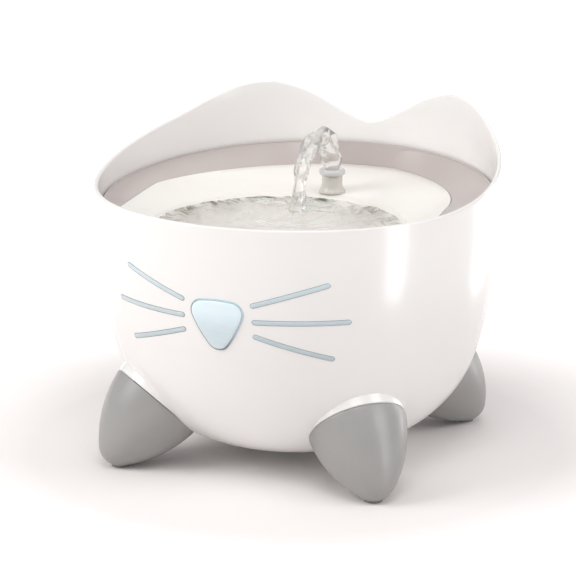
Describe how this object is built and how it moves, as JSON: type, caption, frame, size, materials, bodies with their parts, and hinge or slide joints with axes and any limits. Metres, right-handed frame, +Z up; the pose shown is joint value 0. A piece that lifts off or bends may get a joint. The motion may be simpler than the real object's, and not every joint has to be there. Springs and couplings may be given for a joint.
{
  "type": "pet water fountain",
  "caption": "Bowl-shaped pet water fountain with an eared rim, lift-out drinking dish, spout, filter basket and submersible pump on cone feet.",
  "frame": {"origin": "on the table surface under the middle of the bowl, at the bottom centre of the box", "axes": "+Z up, the face with nose and whiskers looks along -Y, +X to the right of the picture"},
  "size_m": [0.242, 0.242, 0.2021],
  "materials": {
    "shell_white": "smooth glossy moulded ABS",
    "foot_grey": "satin moulded ABS",
    "pad_rubber": "matt grey rubber",
    "gasket_dark": "matt soft rubber",
    "lens_blue": "translucent polished acrylic",
    "whisker_blue": "translucent satin acrylic",
    "board_green": "lacquered circuit board",
    "light_clear": "clear epoxy",
    "screw_steel": "zinc plated",
    "surround_taupe": "satin moulded plastic",
    "dish_cream": "glossy moulded plastic",
    "nozzle_grey": "high gloss moulded plastic",
    "tube_silicone": "translucent silicone",
    "basket_clear": "frosted moulded plastic",
    "felt_white": "needled polyester felt",
    "carbon_black": "non-woven pouch of carbon grains",
    "pump_black": "satin moulded plastic",
    "cup_rubber": "soft rubber",
    "shaft_ceramic": "polished ceramic",
    "pin_brass": "polished",
    "rotor_blue": "moulded magnet carrier",
    "water": "clear water"
  },
  "bodies": {
    "base": {"outer_shell": "shell_white", "foot_front_right": "foot_grey", "foot_front_left": "foot_grey", "foot_rear_left": "foot_grey", "foot_rear_right": "foot_grey", "foot_pads": "pad_rubber", "nose_gasket": "gasket_dark", "nose_lens": "lens_blue", "whisker_left_upper": "whisker_blue", "whisker_left_middle": "whisker_blue", "whisker_left_lower": "whisker_blue", "whisker_right_upper": "whisker_blue", "whisker_right_middle": "whisker_blue", "whisker_right_lower": "whisker_blue", "light_case": "basket_clear", "light_board": "board_green", "light_beads": "light_clear", "light_cover": "basket_clear", "light_cover_screws": "screw_steel", "pump_body": "pump_black", "pump_shaft": "shaft_ceramic", "intake_cover": "pump_black", "suction_cups": "cup_rubber", "riser_tube": "tube_silicone", "power_jack": "pump_black", "jack_pin": "pin_brass"},
    "tray": {"tray_surround": "surround_taupe", "drinking_dish": "dish_cream", "spout_stem": "dish_cream", "spout_nozzle": "nozzle_grey"},
    "filter": {"filter_basket": "basket_clear", "felt_pad": "felt_white", "carbon_pack": "carbon_black", "filter_lid": "basket_clear"},
    "rotor": {"impeller": "rotor_blue"},
    "shutter": {"flow_shutter": "pump_black"}
  },
  "joints": [
    {"name": "tray_lift", "type": "slide", "parent": "base", "child": "tray", "axis": [0, 0, 1], "range_m": [0, 0.115]},
    {"name": "basket_twist", "type": "hinge", "parent": "tray", "child": "filter", "pos_m": [0, -0.03, 0.107], "axis": [0, 0, 1], "range_deg": [0, 28]},
    {"name": "impeller_spin", "type": "hinge", "parent": "base", "child": "rotor", "pos_m": [0, 0.045, 0.042], "axis": [0, 1, 0], "continuous": true},
    {"name": "flow_adjust", "type": "slide", "parent": "base", "child": "shutter", "axis": [1, 0, 0], "range_m": [0, 0.0025]}
  ]
}
